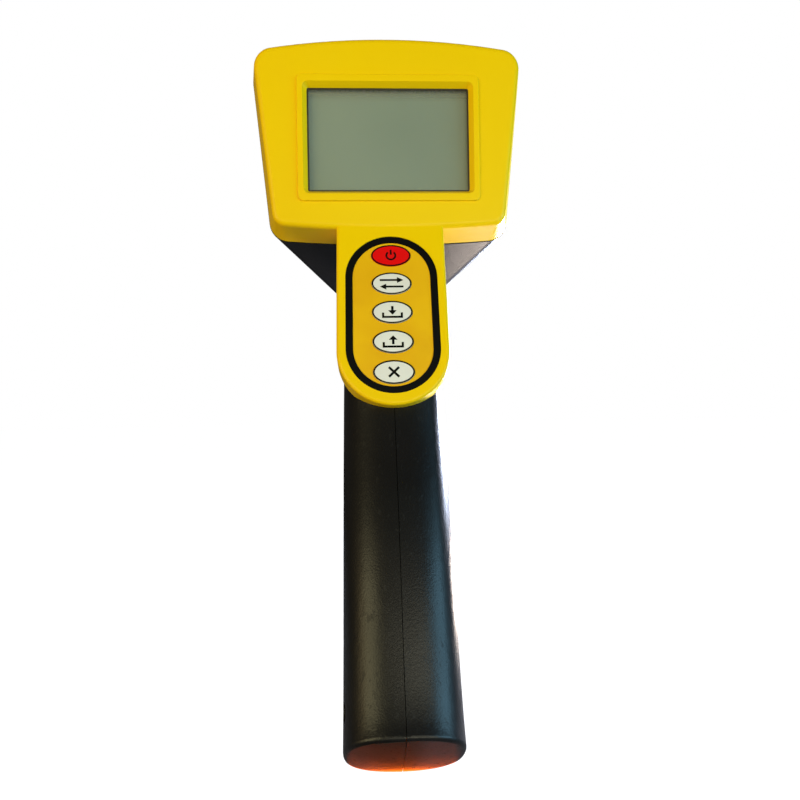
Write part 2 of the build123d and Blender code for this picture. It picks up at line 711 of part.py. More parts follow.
with BuildPart() as controller_chip:
    with BuildSketch(head_plane(BOARD_BACK + CONTROLLER[1])):
        with Locations(CONTROLLER_SPOT):
            Rectangle(CONTROLLER[0], CONTROLLER[0])
    extrude(amount=CONTROLLER[1])
    chamfer(controller_chip.faces().sort_by(Axis.Y)[-1].edges(), 0.3)
    with BuildSketch(head_plane(BOARD_BACK + CONTROLLER_LEG[2])):
        with Locations(CONTROLLER_SPOT):
            with PolarLocations(0, 4):
                with GridLocations(CONTROLLER_LEG_PITCH, 0, 8, 1):
                    with Locations((0, CONTROLLER[0] / 2 + 0.6)):
                        Rectangle(*CONTROLLER_LEG[:2])
    extrude(amount=CONTROLLER_LEG[2])
controller_chip.part.label = "controller_chip"
export_step(controller_chip.part, "parts/controller_chip.step")

with BuildPart() as timing_crystal:
    with BuildSketch(head_plane(BOARD_BACK + CRYSTAL[2])):
        with Locations(CRYSTAL_SPOT):
            SlotOverall(*CRYSTAL[:2])
    extrude(amount=CRYSTAL[2])
    fillet(timing_crystal.faces().sort_by(Axis.Y)[-1].edges(), 0.5)
timing_crystal.part.label = "timing_crystal"
export_step(timing_crystal.part, "parts/timing_crystal.step")

with BuildPart() as buzzer:
    with BuildSketch(head_plane(BOARD_BACK + BUZZER[1])):
        with Locations(BUZZER_SPOT):
            Circle(BUZZER[0])
    extrude(amount=BUZZER[1])
    with BuildSketch(head_plane(BOARD_BACK + BUZZER[1])):
        with Locations(BUZZER_SPOT):
            Circle(BUZZER[2])
    extrude(amount=1.5, mode=Mode.SUBTRACT)
buzzer.part.label = "buzzer"
export_step(buzzer.part, "parts/buzzer.step")

with BuildPart() as board_parts:
    with BuildSketch(head_plane(BOARD_BACK + CHIP[2])):
        with Locations(*CHIP_SPOTS):
            Rectangle(*CHIP[:2])
    extrude(amount=CHIP[2])
    with BuildSketch(head_plane(BOARD_BACK + CAPACITOR[1])):
        with Locations(*CAPACITOR_SPOTS):
            Circle(CAPACITOR[0])
    extrude(amount=CAPACITOR[1])
board_parts.part.label = "board_parts"
export_step(board_parts.part, "parts/board_parts.step")

with BuildPart() as sensor_plug:
    with BuildSketch(head_plane(BOARD_BACK + SENSOR_PLUG[2])):
        with Locations(SENSOR_PLUG_SPOT):
            Rectangle(*SENSOR_PLUG[:2])
    extrude(amount=SENSOR_PLUG[2])
sensor_plug.part.label = "sensor_plug"
export_step(sensor_plug.part, "parts/sensor_plug.step")

with BuildPart() as ribbon_socket:
    with BuildSketch(head_plane(BOARD_FRONT)):
        with Locations(RIBBON_SOCKET_SPOT):
            Rectangle(*RIBBON_SOCKET[:2])
    extrude(amount=RIBBON_SOCKET[2])
ribbon_socket.part.label = "ribbon_socket"
export_step(ribbon_socket.part, "parts/ribbon_socket.step")

with BuildPart() as sensor_lead:
    add(
        wire(
            (0, JACK_BACK_Y - 0.1, 0),
            (-0.6, JACK_BACK_Y - 5.0, -0.2),
            (-6.0, JACK_BACK_Y - 9.5, -2.0),
            (-14.0, JACK_BACK_Y - 9.0, -5.0),
            (-22.0, JACK_BACK_Y - 11.0, -7.4),
            (SENSOR_PLUG_SPOT[0], BOARD_BACK + SENSOR_PLUG[2] + 0.2, SENSOR_PLUG_SPOT[1]),
        )
    )
sensor_lead.part.label = "sensor_lead"
export_step(sensor_lead.part, "parts/sensor_lead.step")

# ---------------------------------------------------------------- keypad
with BuildPart() as keypad_frame:
    with BuildSketch(STRIP.offset(-FRAME_TOP)):
        with Locations((0, -KEYPAD_CENTRE)):
            SlotOverall(KEYPAD[0] - FILM_GAP, KEYPAD[1] - FILM_GAP, rotation=90)
            SlotOverall(
                KEYPAD[0] - 2 * FRAME_BAND,
                KEYPAD[1] - 2 * FRAME_BAND,
                rotation=90,
                mode=Mode.SUBTRACT,
            )
    extrude(amount=FRAME_TOP - KEYPAD_RECESS)
keypad_frame.part.label = "keypad_frame"
export_step(keypad_frame.part, "parts/keypad_frame.step")

with BuildPart() as keypad_film:
    with BuildSketch(STRIP.offset(-FILM_TOP)):
        with Locations((0, -KEYPAD_CENTRE)):
            SlotOverall(STACK_LENGTH, STACK_WIDTH, rotation=90)
        with Locations(*KEY_SPOTS):
            Ellipse(KEY[0] / 2 + KEY_GAP, KEY[1] / 2 + KEY_GAP, mode=Mode.SUBTRACT)
    extrude(amount=-FILM_THICK)
keypad_film.part.label = "keypad_film"
export_step(keypad_film.part, "parts/keypad_film.step")

with BuildPart() as key_spacer:
    with BuildSketch(STRIP.offset(-FILM_TOP - FILM_THICK)):
        with Locations((0, -KEYPAD_CENTRE)):
            SlotOverall(STACK_LENGTH, STACK_WIDTH, rotation=90)
        with Locations(*KEY_SPOTS):
            Ellipse(KEY[0] / 2 + 2 * KEY_GAP, KEY[1] / 2 + 2 * KEY_GAP, mode=Mode.SUBTRACT)
    extrude(amount=-SPACER_THICK)
key_spacer.part.label = "key_spacer"
export_step(key_spacer.part, "parts/key_spacer.step")

with BuildPart() as key_circuit:
    with BuildSketch(STRIP.offset(-KEYPAD_RECESS)):
        with Locations((0, -KEYPAD_CENTRE)):
            SlotOverall(STACK_LENGTH, STACK_WIDTH, rotation=90)
    extrude(amount=CIRCUIT_THICK)
key_circuit.part.label = "key_circuit"
export_step(key_circuit.part, "parts/key_circuit.step")

with BuildPart() as key_domes:
    with BuildSketch(STRIP.offset(CIRCUIT_THICK - KEYPAD_RECESS)):
        with Locations(*KEY_SPOTS):
            Circle(DOME_RADIUS)
    extrude(amount=DOME_HEIGHT, taper=60)
key_domes.part.label = "key_domes"
export_step(key_domes.part, "parts/key_domes.step")

for key_name, spot in zip(KEY_NAMES, KEY_SPOTS):
    with BuildPart() as key:
        with BuildSketch(STRIP.offset(-FILM_TOP - FILM_THICK)):
            with Locations(spot):
                Ellipse(KEY[0] / 2, KEY[1] / 2)
        extrude(amount=FILM_TOP + FILM_THICK - KEY_TOP)
        key_face = key.faces().sort_by(Axis(STRIP.origin, STRIP.z_dir))[-1]
        fillet(key_face.edges(), KEY_EDGE_RADIUS)
    key.part.label = key_name
    export_step(key.part, f"parts/{key_name}.step")

with BuildPart() as ribbon_tail:
    with BuildLine():
        bend = [STRIP.from_local_coords((0, -RIBBON_DOWN, -z)) for z in (KEYPAD_RECESS, 8.6)]
        ribbon_route = FilletPolyline(
            bend[0],
            bend[1],
            (0, RIBBON_Y, -27.0),
            (0, FACE_Y + 8.6, -21.5),
            (0, FACE_Y + 10.0, -17.8),
            radius=[1.2, 6, 6],
        )
    with BuildSketch(Plane(origin=ribbon_route @ 0, x_dir=(1, 0, 0), z_dir=ribbon_route % 0)):
        Rectangle(*RIBBON)
    sweep(path=ribbon_route)
ribbon_tail.part.label = "ribbon_tail"
export_step(ribbon_tail.part, "parts/ribbon_tail.step")

# ---------------------------------------------------------------- battery bay
with BuildPart() as battery_tray:
    with BuildSketch(bay_plane(TRAY_FLOOR - TRAY_WALL)):
        RectangleRounded(TRAY_WIDTH + 2 * TRAY_WALL, TRAY_LENGTH + 2 * TRAY_WALL, 1)
    extrude(amount=TRAY_HEIGHT)
    with BuildSketch(bay_plane(TRAY_FLOOR)):
        Rectangle(TRAY_WIDTH, TRAY_LENGTH)
    extrude(amount=TRAY_HEIGHT, mode=Mode.SUBTRACT)
    with BuildSketch(bay_plane(TRAY_FLOOR - TRAY_WALL)):
        with Locations((0, -DOOR_SCREW_Z)):
            Rectangle(9, 7)
    extrude(amount=DOOR_SEAT - 4.6 - TRAY_FLOOR + TRAY_WALL)
    with BuildSketch(bay_plane(TRAY_FLOOR + 2)):
        with Locations((0, -DOOR_SCREW_Z)):
            Circle(PILOT_RADIUS)
    extrude(amount=FAR / 8, mode=Mode.SUBTRACT)
battery_tray.part.label = "battery_tray"
export_step(battery_tray.part, "parts/battery_tray.step")

with BuildPart() as battery_cells:
    for x, way in zip(CELL_SPOTS, (1, -1)):
        end = BAY.from_local_coords((x, -CELL_DEPTH, -way * BAY_HALF_LENGTH))
        cell_axis = Plane(origin=end, x_dir=(1, 0, 0), z_dir=way * BAY.z_dir)
        with BuildSketch(cell_axis):
            Circle(1.9)
        extrude(amount=1.2)
        with BuildSketch(cell_axis.offset(0.9)):
            Circle(CELL_RADIUS)
        extrude(amount=CELL_LENGTH - 0.9)
battery_cells.part.label = "battery_cells"
export_step(battery_cells.part, "parts/battery_cells.step")

with BuildPart() as battery_plates:
    for x in CELL_SPOTS:
        for z in (-BAY_HALF_LENGTH - PLATE_THICK, BAY_HALF_LENGTH):
            spot = BAY.from_local_coords((x, -CELL_DEPTH, z))
            with BuildSketch(Plane(origin=spot, x_dir=(1, 0, 0), z_dir=BAY.z_dir)):
                Rectangle(*PLATE)
            extrude(amount=PLATE_THICK)
battery_plates.part.label = "battery_plates"
export_step(battery_plates.part, "parts/battery_plates.step")

with BuildPart() as battery_springs:
    for x, way in zip(CELL_SPOTS, (1, -1)):
        foot = BAY.from_local_coords((x, -CELL_DEPTH, way * (BAY_HALF_LENGTH - 0.7)))
        with BuildLine():
            coil = Helix(
                pitch=SPRING_PITCH,
                height=SPRING_LENGTH - 1.1,
                radius=SPRING_RADIUS,
                center=foot,
                direction=-way * BAY.z_dir,
                cone_angle=SPRING_CONE,
            )
        with BuildSketch(Plane(origin=coil @ 0, z_dir=coil % 0)):
            Rectangle(SPRING_WIRE, SPRING_WIRE)
        sweep(path=coil, is_frenet=True)
battery_springs.part.label = "battery_springs"
export_step(battery_springs.part, "parts/battery_springs.step")

with BuildPart() as door_pad:
    with BuildSketch(bay_plane(DOOR_SEAT - 4)):
        with Locations((0, -DOOR_SCREW_Z)):
            Circle(BOSS_RADIUS - 0.8)
    extrude(amount=8)
    add(BODY, mode=Mode.INTERSECT)

with BuildPart() as battery_door:
    with BuildSketch(bay_plane(CELL_DEPTH)):
        RectangleRounded(DOOR[0] - 2 * DOOR_GAP, DOOR[1] - 2 * DOOR_GAP, 0.4)
    extrude(amount=FAR / 4)
    add(housing.part, mode=Mode.INTERSECT)
    add(door_pad.part)
    with BuildSketch(bay_plane(DOOR_SEAT)):
        with Locations((0, -DOOR_SCREW_Z)):
            Circle(HEAD_RADIUS + 0.2)
    extrude(amount=FAR / 8, mode=Mode.SUBTRACT)
    with BuildSketch(bay_plane(DOOR_SEAT)):
        with Locations((0, -DOOR_SCREW_Z)):
            Circle(CLEAR_RADIUS)
    extrude(amount=-FAR / 8, mode=Mode.SUBTRACT)
battery_door.part.label = "battery_door"
export_step(battery_door.part, "parts/battery_door.step")

with BuildPart() as door_screw:
    door_seat = bay_plane(DOOR_SEAT)
    door_seat.origin = door_seat.from_local_coords((0, -DOOR_SCREW_Z, 0))
    add(screw(door_seat, 11.0))
door_screw.part.label = "door_screw"
export_step(door_screw.part, "parts/door_screw.step")

for colour, side in (("red", -1), ("black", 1)):
    with BuildPart() as battery_lead:
        add(
            wire(
                grip_point(side * 5.8, LEAD_START, 20.5),
                grip_point(side * 6.2, 74, 18.5),
                grip_point(side * 6.5, 58, 16.5, 19),
                grip_point(side * 6.5, 42, 17.5, STRIP_TILT),
                grip_point(side * 7.0, 26, 20.5, STRIP_TILT),
                (side * 8.5, BOARD_BACK + 10.6, -37.0),
                (side * 10.0, BOARD_BACK + 9.2, -25.5),
                (side * 10.5, BOARD_BACK + 0.6, -15.2),
            )
        )
    battery_lead.part.label = f"battery_lead_{colour}"
    export_step(battery_lead.part, f"parts/battery_lead_{colour}.step")
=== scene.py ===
"""Display handle of a digital measuring wheel: finishes, key symbols, fittings and stage.

Sizes are in metres. The frame's origin is the centre of the tube socket's mouth, +Y points out of
that mouth, +Z is up and +X is to the right of a user who reads the display.
"""

import json
from math import cos, radians, sin

import bmesh
import bpy
from bpy.props import FloatProperty, FloatVectorProperty, PointerProperty
from mathutils import Matrix, Vector


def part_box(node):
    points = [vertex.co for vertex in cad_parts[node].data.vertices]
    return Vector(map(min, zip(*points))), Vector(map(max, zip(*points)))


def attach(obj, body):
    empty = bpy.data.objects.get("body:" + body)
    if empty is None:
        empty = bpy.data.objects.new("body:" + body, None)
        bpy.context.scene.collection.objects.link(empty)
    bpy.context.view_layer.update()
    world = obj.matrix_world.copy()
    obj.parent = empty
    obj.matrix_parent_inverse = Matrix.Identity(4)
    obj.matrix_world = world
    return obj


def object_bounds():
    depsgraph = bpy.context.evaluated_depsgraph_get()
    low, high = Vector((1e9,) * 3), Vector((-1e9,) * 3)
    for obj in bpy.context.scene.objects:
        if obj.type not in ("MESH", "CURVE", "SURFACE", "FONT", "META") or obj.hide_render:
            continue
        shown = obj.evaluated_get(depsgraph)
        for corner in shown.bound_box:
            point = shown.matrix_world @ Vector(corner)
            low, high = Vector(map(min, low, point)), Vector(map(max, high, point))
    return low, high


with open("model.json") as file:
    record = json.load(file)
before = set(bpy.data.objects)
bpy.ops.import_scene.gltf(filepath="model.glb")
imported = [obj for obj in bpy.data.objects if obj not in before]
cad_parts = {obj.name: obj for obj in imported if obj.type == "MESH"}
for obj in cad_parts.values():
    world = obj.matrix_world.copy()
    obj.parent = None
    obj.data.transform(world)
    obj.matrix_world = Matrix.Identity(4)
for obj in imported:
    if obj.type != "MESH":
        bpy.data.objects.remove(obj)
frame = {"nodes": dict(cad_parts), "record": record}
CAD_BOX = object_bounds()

bl_info = {
    "name": "Measuring Wheel Handle",
    "version": (1, 0, 0),
    "blender": (4, 5, 0),
    "location": "3D View > Sidebar > Handle",
    "description": "Finishes and details the display handle of a digital measuring wheel",
    "category": "Object",
}

MM = 0.001
HANDLE = "handle"
DOOR = "battery_door_group"
STRIP_TILT = radians(16.0)
STRIP_RIGHT = Vector((1, 0, 0))
STRIP_UP = Vector((0, sin(STRIP_TILT), cos(STRIP_TILT)))
STRIP_OUT = Vector((0, -cos(STRIP_TILT), sin(STRIP_TILT)))
GRIP_TILT = radians(27.0)
GRIP_DOWN = Vector((0, -sin(GRIP_TILT), -cos(GRIP_TILT)))
GRIP_BACK = Vector((0, cos(GRIP_TILT), -sin(GRIP_TILT)))
RIPPLE_SCALE = 160.0
DRIFT_START = 0.38
DRIFT_STEEPNESS = 3.0
SCRATCH_SCALE = 900.0
SCRATCH_STRETCH = (1.0, 1.0, 0.06)
SCRATCH_LIMIT = 0.66
SCRATCH_DULLING = 0.2
SHADE_SHARE = 0.82
RING_SEGMENTS = 96
ARC_STEPS = 40
INK_INSET = 0.02 * MM
# Depth of the band of painted shade and reflection along the display's top edge
PAINTED_EDGE_SHADE_DEPTH = 6.5 * MM
# Thickness of the dark ring of painted shade round the window
SHADE_RING_HEIGHT = 0.25 * MM
RIB_COUNT = 5
RIB_PITCH = 2.4 * MM
RIB_WIDTH = 1.1 * MM
RIB_HEIGHT = 1.6 * MM
RIB_BEVEL = 0.35 * MM
RIB_SUNK = 0.9 * MM
RIBS_ABOVE_MIDDLE = 22 * MM
FLOOR_RADIUS = 6.0
SENSOR_WIDTH = 36.0
CLIP_START = 0.01
KEYS = ("key_power", "key_units", "key_store", "key_recall", "key_clear")
SLOT_OF = {part["node"]: part["material_slot"] for part in frame["record"]["subparts"]}


# ---------------------------------------------------------------- settings
def colour_setting(name, description, default):
    """A linear colour that a user can change."""
    return FloatVectorProperty(
        name=name, description=description, default=default, size=3, min=0, max=1, subtype="COLOR"
    )


class HandleFinishSettings(bpy.types.PropertyGroup):
    """Colours and roughness of the handle's visible surfaces."""

    cover: colour_setting("Cover", "Yellow of the front cover", (0.90, 0.585, 0.0))
    cover_shade: colour_setting(
        "Cover shade", "Deeper yellow in the cover's flow marks", (0.87, 0.53, 0.0)
    )
    film: colour_setting("Keypad film", "Gold of the film inside the black ring", (0.84, 0.47, 0.0))
    film_shade: colour_setting("Film shade", "Deeper gold of the film", (0.76, 0.38, 0.0))
    housing: colour_setting("Housing", "Black of the housing", (0.0032, 0.003, 0.0033))
    housing_shade: colour_setting(
        "Housing shade", "Second black of the housing", (0.0065, 0.0055, 0.0055)
    )
    red_key: colour_setting("Power key", "Red of the power key", (0.80, 0.004, 0.004))
    white_key: colour_setting("Other keys", "White of the other four keys", (0.78, 0.76, 0.73))
    ink: colour_setting("Ink", "Black of the ring, outlines and symbols", (0.003, 0.003, 0.003))
    display: colour_setting("Display", "Grey-green behind the display glass", (0.30, 0.37, 0.27))
    # Painted shade and reflection: brown of the band at the display's top edge, standing in for the
    # shadow and reflection of the window's upper wall
    display_edge_painted_shade: colour_setting(
        "Display edge", "Brown of the display's upper edge", (0.17, 0.10, 0.02)
    )
    cover_roughness: FloatProperty(
        name="Cover roughness", description="Mean roughness of the cover",
        default=0.36, min=0, max=1, subtype="FACTOR",
    )
    housing_roughness: FloatProperty(
        name="Housing roughness", description="Mean roughness of the housing",
        default=0.38, min=0, max=1, subtype="FACTOR",
    )


class HandlePrintSettings(bpy.types.PropertyGroup):
    """Sizes of the printed and moulded details."""

    outline_width: FloatProperty(
        name="Outline width", description="Width of the black line round each key",
        default=0.5 * MM, unit="LENGTH",
    )
    ink_height: FloatProperty(
        name="Ink height", description="Thickness of the printed outlines and symbols",
        default=0.04 * MM, unit="LENGTH",
    )
    symbol_scale: FloatProperty(
        name="Symbol scale", description="Size of the key symbols", default=1.12, min=0.2, max=1.6
    )
    # Width of the dark ring that stands in as painted shade for the window's inner walls
    shade_ring_width: FloatProperty(
        name="Gasket width", description="Visible width of the dark gasket round the window",
        default=0.55 * MM, unit="LENGTH",
    )
    window: FloatVectorProperty(
        name="Window", description="Width and height of the window's opening",
        default=(61.9 * MM, 39.5 * MM), size=2, unit="LENGTH",
    )
    rib_length: FloatProperty(
        name="Rib length", description="Length of the finger ribs on the battery door",
        default=13.0 * MM, unit="LENGTH",
    )


class HandleStageSettings(bpy.types.PropertyGroup):
    """Floor, lamps and camera."""

    floor_gap: FloatProperty(
        name="Floor gap", description="Gap between the handle's lowest point and the floor",
        default=0.2 * MM, unit="LENGTH",
    )
    floor: colour_setting(
        "Floor", "Grey of the floor, before it is lifted to white", (0.15, 0.15, 0.15)
    )
    floor_glow: FloatProperty(
        name="Floor glow", description="How far the seen floor is lifted to white", default=0.99
    )
    ambient: FloatProperty(
        name="Ambient", description="Strength of the light from all round", default=0.06, min=0
    )
    lamp_level: FloatProperty(
        name="Lamp level", description="Brightness of all lamps together", default=1.15, min=0
    )
    lens: FloatProperty(name="Lens", description="Focal length", default=26.256, unit="CAMERA")
    camera_place: FloatVectorProperty(
        name="Camera place", description="Where the camera stands",
        default=(-0.00859, -0.30167, -0.09456), size=3, subtype="TRANSLATION",
    )
    camera_turn: FloatVectorProperty(
        name="Camera turn", description="The camera's rotation",
        default=(radians(90.08), radians(0.91), radians(-2.331)), size=3, subtype="EULER",
    )
    shift: FloatVectorProperty(
        name="Lens shift", description="Sideways and upward lens shift, as a share of the sensor",
        default=(0.0073, 0.0141), size=2,
    )


# ---------------------------------------------------------------- shader groups
def group_tree(name, inputs, outputs):
    """An empty shader group with its sockets: (tree, input node, output node)."""
    tree = bpy.data.node_groups.new(name, "ShaderNodeTree")
    for label, kind, default in inputs:
        socket = tree.interface.new_socket(name=label, in_out="INPUT", socket_type=kind)
        socket.default_value = default
    for label, kind in outputs:
        tree.interface.new_socket(name=label, in_out="OUTPUT", socket_type=kind)
    return tree, tree.nodes.new("NodeGroupInput"), tree.nodes.new("NodeGroupOutput")


def maths(tree, operation, a, b):
    """A Math node of two inputs, each a socket or a number; returns its output."""
    node = tree.nodes.new("ShaderNodeMath")
    node.operation = operation
    for socket, value in zip(node.inputs, (a, b)):
        if isinstance(value, (int, float)):
            socket.default_value = value
        else:
            tree.links.new(value, socket)
    return node.outputs[0]


def noise(tree, scale, detail=2.0, stretch=None):
    """Noise on Object coordinates, stretched along an axis if asked; returns its factor."""
    place = tree.nodes.new("ShaderNodeTexCoord").outputs["Object"]
    if stretch:
        mapping = tree.nodes.new("ShaderNodeMapping")
        mapping.inputs["Scale"].default_value = stretch
        tree.links.new(place, mapping.inputs["Vector"])
        place = mapping.outputs["Vector"]
    node = tree.nodes.new("ShaderNodeTexNoise")
    node.inputs["Detail"].default_value = detail
    tree.links.new(place, node.inputs["Vector"])
    if isinstance(scale, (int, float)):
        node.inputs["Scale"].default_value = scale
    else:
        tree.links.new(scale, node.inputs["Scale"])
    return node.outputs[0]


def blend(tree, share, first, second):
    """A mix of two colours by a share; returns its colour."""
    node = tree.nodes.new("ShaderNodeMix")
    node.data_type = "RGBA"
    node.clamp_factor = True
    tree.links.new(share, node.inputs["Factor"])
    tree.links.new(first, node.inputs["A"])
    tree.links.new(second, node.inputs["B"])
    return node.outputs["Result"]


def grain_group():
    """Spark-eroded grain of a moulding: fine pits over a soft ripple, as a height."""
    tree, taken, given = group_tree(
        "Moulded Grain",
        [("Scale", "NodeSocketFloat", 1500.0), ("Ripple", "NodeSocketFloat", 0.25)],
        [("Height", "NodeSocketFloat")],
    )
    cells = tree.nodes.new("ShaderNodeTexVoronoi")
    place = tree.nodes.new("ShaderNodeTexCoord").outputs["Object"]
    tree.links.new(place, cells.inputs["Vector"])
    tree.links.new(taken.outputs["Scale"], cells.inputs["Scale"])
    pits = maths(tree, "MULTIPLY", cells.outputs["Distance"], 0.7)
    fine_scale = maths(tree, "MULTIPLY", taken.outputs["Scale"], 0.6)
    fine = maths(tree, "ADD", pits, noise(tree, fine_scale, 3.0))
    ripple = maths(tree, "MULTIPLY", noise(tree, RIPPLE_SCALE, 1.0), taken.outputs["Ripple"])
    tree.links.new(maths(tree, "ADD", fine, ripple), given.inputs["Height"])
    return tree


def drift_group():
    """Slow change between two colours, as a moulding's flow marks or a print's ink shows."""
    tree, taken, given = group_tree(
        "Colour Drift",
        [
            ("Colour", "NodeSocketColor", (0.5, 0.5, 0.5, 1)),
            ("Shade", "NodeSocketColor", (0.4, 0.4, 0.4, 1)),
            ("Scale", "NodeSocketFloat", 30.0),
            ("Amount", "NodeSocketFloat", 1.0),
        ],
        [("Colour", "NodeSocketColor")],
    )
    slow = maths(tree, "SUBTRACT", noise(tree, taken.outputs["Scale"], 3.0), DRIFT_START)
    amount = maths(tree, "MULTIPLY", taken.outputs["Amount"], DRIFT_STEEPNESS)
    share = maths(tree, "MULTIPLY", slow, amount)
    mixed = blend(tree, share, taken.outputs["Colour"], taken.outputs["Shade"])
    tree.links.new(mixed, given.inputs["Colour"])
    return tree


def marks_group():
    """Roughness that handling leaves: smudges, and fine hairline scratches along the part."""
    tree, taken, given = group_tree(
        "Handling Marks",
        [
            ("Low", "NodeSocketFloat", 0.3),
            ("High", "NodeSocketFloat", 0.4),
            ("Smudge Scale", "NodeSocketFloat", 60.0),
            ("Scratches", "NodeSocketFloat", 0.3),
        ],
        [("Roughness", "NodeSocketFloat")],
    )
    smudge = noise(tree, taken.outputs["Smudge Scale"], 4.0)
    lines = noise(tree, SCRATCH_SCALE, 2.0, SCRATCH_STRETCH)
    hair = maths(tree, "GREATER_THAN", lines, SCRATCH_LIMIT)
    dulling = maths(tree, "MULTIPLY", taken.outputs["Scratches"], SCRATCH_DULLING)
    lift = maths(tree, "MULTIPLY", hair, dulling)
    span = maths(tree, "SUBTRACT", taken.outputs["High"], taken.outputs["Low"])
    base = maths(tree, "ADD", taken.outputs["Low"], maths(tree, "MULTIPLY", smudge, span))
    tree.links.new(maths(tree, "ADD", base, lift), given.inputs["Roughness"])
    return tree


def painted_edge_shade_group():
    """Painted shade and reflection: change to a second colour just below a height, as a rim's
    shadow and its reflection in glass show.
    """
    tree, taken, given = group_tree(
        "Edge Tint",
        [
            ("Colour", "NodeSocketColor", (0.5, 0.5, 0.5, 1)),
            ("Edge", "NodeSocketColor", (0.4, 0.4, 0.4, 1)),
            ("Top", "NodeSocketFloat", 0.0),
            ("Depth", "NodeSocketFloat", 0.005),
        ],
        [("Colour", "NodeSocketColor")],
    )
    parts = tree.nodes.new("ShaderNodeSeparateXYZ")
    tree.links.new(tree.nodes.new("ShaderNodeTexCoord").outputs["Object"], parts.inputs[0])
    below = maths(tree, "SUBTRACT", taken.outputs["Top"], parts.outputs["Z"])
    share = maths(tree, "SUBTRACT", 1.0, maths(tree, "DIVIDE", below, taken.outputs["Depth"]))
    mixed = blend(tree, share, taken.outputs["Colour"], taken.outputs["Edge"])
    tree.links.new(mixed, given.inputs["Colour"])
    return tree


def place_group(tree, name, **values):
    """A group node in a material, with its own values; built on first use."""
    makers = {
        "Moulded Grain": grain_group,
        "Colour Drift": drift_group,
        "Handling Marks": marks_group,
        "Edge Tint": painted_edge_shade_group,
    }
    node = tree.nodes.new("ShaderNodeGroup")
    node.node_tree = bpy.data.node_groups.get(name) or makers[name]()
    for label, value in values.items():
        node.inputs[label.replace("_", " ")].default_value = value
    return node


# ---------------------------------------------------------------- materials
def rgba(colour):
    """A colour with full alpha."""
    return (*colour, 1.0)


def finish(name, colour, shade=None, rough=(0.4, 0.5), grain=1500.0, depth=0.0, amount=1.0,
           drift=30.0, smudge=60.0, scratches=0.3, ripple=0.25, **shader_values):
    """A surface with drifting colour, roughness and grain; other values go on the shader."""
    material = bpy.data.materials.new(name)
    material.use_nodes = True
    tree = material.node_tree
    shader = tree.nodes["Principled BSDF"]
    shade = shade or tuple(SHADE_SHARE * part for part in colour)
    tint = place_group(
        tree, "Colour Drift", Colour=rgba(colour), Shade=rgba(shade), Scale=drift, Amount=amount
    )
    tree.links.new(tint.outputs["Colour"], shader.inputs["Base Color"])
    marks = place_group(
        tree, "Handling Marks", Low=rough[0], High=rough[1], Smudge_Scale=smudge,
        Scratches=scratches,
    )
    tree.links.new(marks.outputs["Roughness"], shader.inputs["Roughness"])
    if depth:
        pits = place_group(tree, "Moulded Grain", Scale=grain, Ripple=ripple)
        bump = tree.nodes.new("ShaderNodeBump")
        bump.inputs["Strength"].default_value = 1.0
        bump.inputs["Distance"].default_value = depth
        tree.links.new(pits.outputs["Height"], bump.inputs["Height"])
        tree.links.new(bump.outputs["Normal"], shader.inputs["Normal"])
    for label, value in shader_values.items():
        shader.inputs[label.replace("_", " ")].default_value = value
    material.diffuse_color = rgba(colour)
    return material


def paint_edge_shade(material, colour, top, depth):
    """Leads a material's colour through a band of painted shade and reflection that ends at a
    height.
    """
    tree = material.node_tree
    base = tree.nodes["Principled BSDF"].inputs["Base Color"]
    tint = place_group(tree, "Edge Tint", Edge=rgba(colour), Top=top, Depth=depth)
    tree.links.new(base.links[0].from_socket, tint.inputs["Colour"])
    tree.links.new(tint.outputs["Colour"], base)
    return material


def metal(name, colour, rough=(0.25, 0.4), **values):
    """Plated or polished metal."""
    return finish(
        name, colour, rough=rough, scratches=1.0, amount=0.6, depth=0.01 * MM, Metallic=1.0,
        **values,
    )


def dress(nodes, material):
    """Gives CAD nodes their material."""
    for node in nodes:
        mesh = frame["nodes"][node].data
        mesh.materials.clear()
        mesh.materials.append(material)


def dress_slot(slot, material):
    """Gives the CAD nodes of a material slot their material."""
    dress([node for node, own_slot in SLOT_OF.items() if own_slot == slot], material)


# ---------------------------------------------------------------- piece helpers
def keep_piece(name, mesh_builder, material, body):
    """Turns a bmesh into a piece at the origin that rides on a body."""
    bmesh.ops.recalc_face_normals(mesh_builder, faces=mesh_builder.faces)
    mesh = bpy.data.meshes.new(name)
    mesh_builder.to_mesh(mesh)
    mesh_builder.free()
    mesh.materials.append(material)
    piece = bpy.data.objects.new(name, mesh)
    bpy.context.scene.collection.objects.link(piece)
    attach(piece, body)
    return piece


def middle(node):
    """Middle of a CAD node's box."""
    low, high = (Vector(corner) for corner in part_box(node))
    return (low + high) / 2


def reach(node, direction):
    """How far a CAD node reaches along a direction."""
    return max(vertex.co.dot(direction) for vertex in frame["nodes"][node].data.vertices)


def seat(point, right, up, out, height):
    """Matrix that lays a flat drawing at a point's place, at a height along out."""
    origin = point + out * (height - point.dot(out))
    rows = zip(right, up, out, origin)
    return Matrix([list(row) for row in rows] + [[0, 0, 0, 1]])


def raise_flat(builder, height):
    """Gives every flat face of a drawing a thickness."""
    lifted = bmesh.ops.extrude_face_region(builder, geom=builder.faces[:])["geom"]
    points = [item for item in lifted if isinstance(item, bmesh.types.BMVert)]
    bmesh.ops.translate(builder, verts=points, vec=(0, 0, height))


def flat_shape(builder, *points):
    """A flat outline of a few points, in millimetres."""
    builder.faces.new([builder.verts.new((x * MM, y * MM, 0)) for x, y in points])


def hollow_flat(builder, width):
    """Leaves only a rim of a width along the edge of a drawing's one face."""
    builder.faces.ensure_lookup_table()
    inner = builder.faces[0]
    bmesh.ops.inset_region(
        builder, faces=[inner], thickness=width, use_boundary=True, use_even_offset=True
    )
    bmesh.ops.delete(builder, geom=[inner], context="FACES_ONLY")


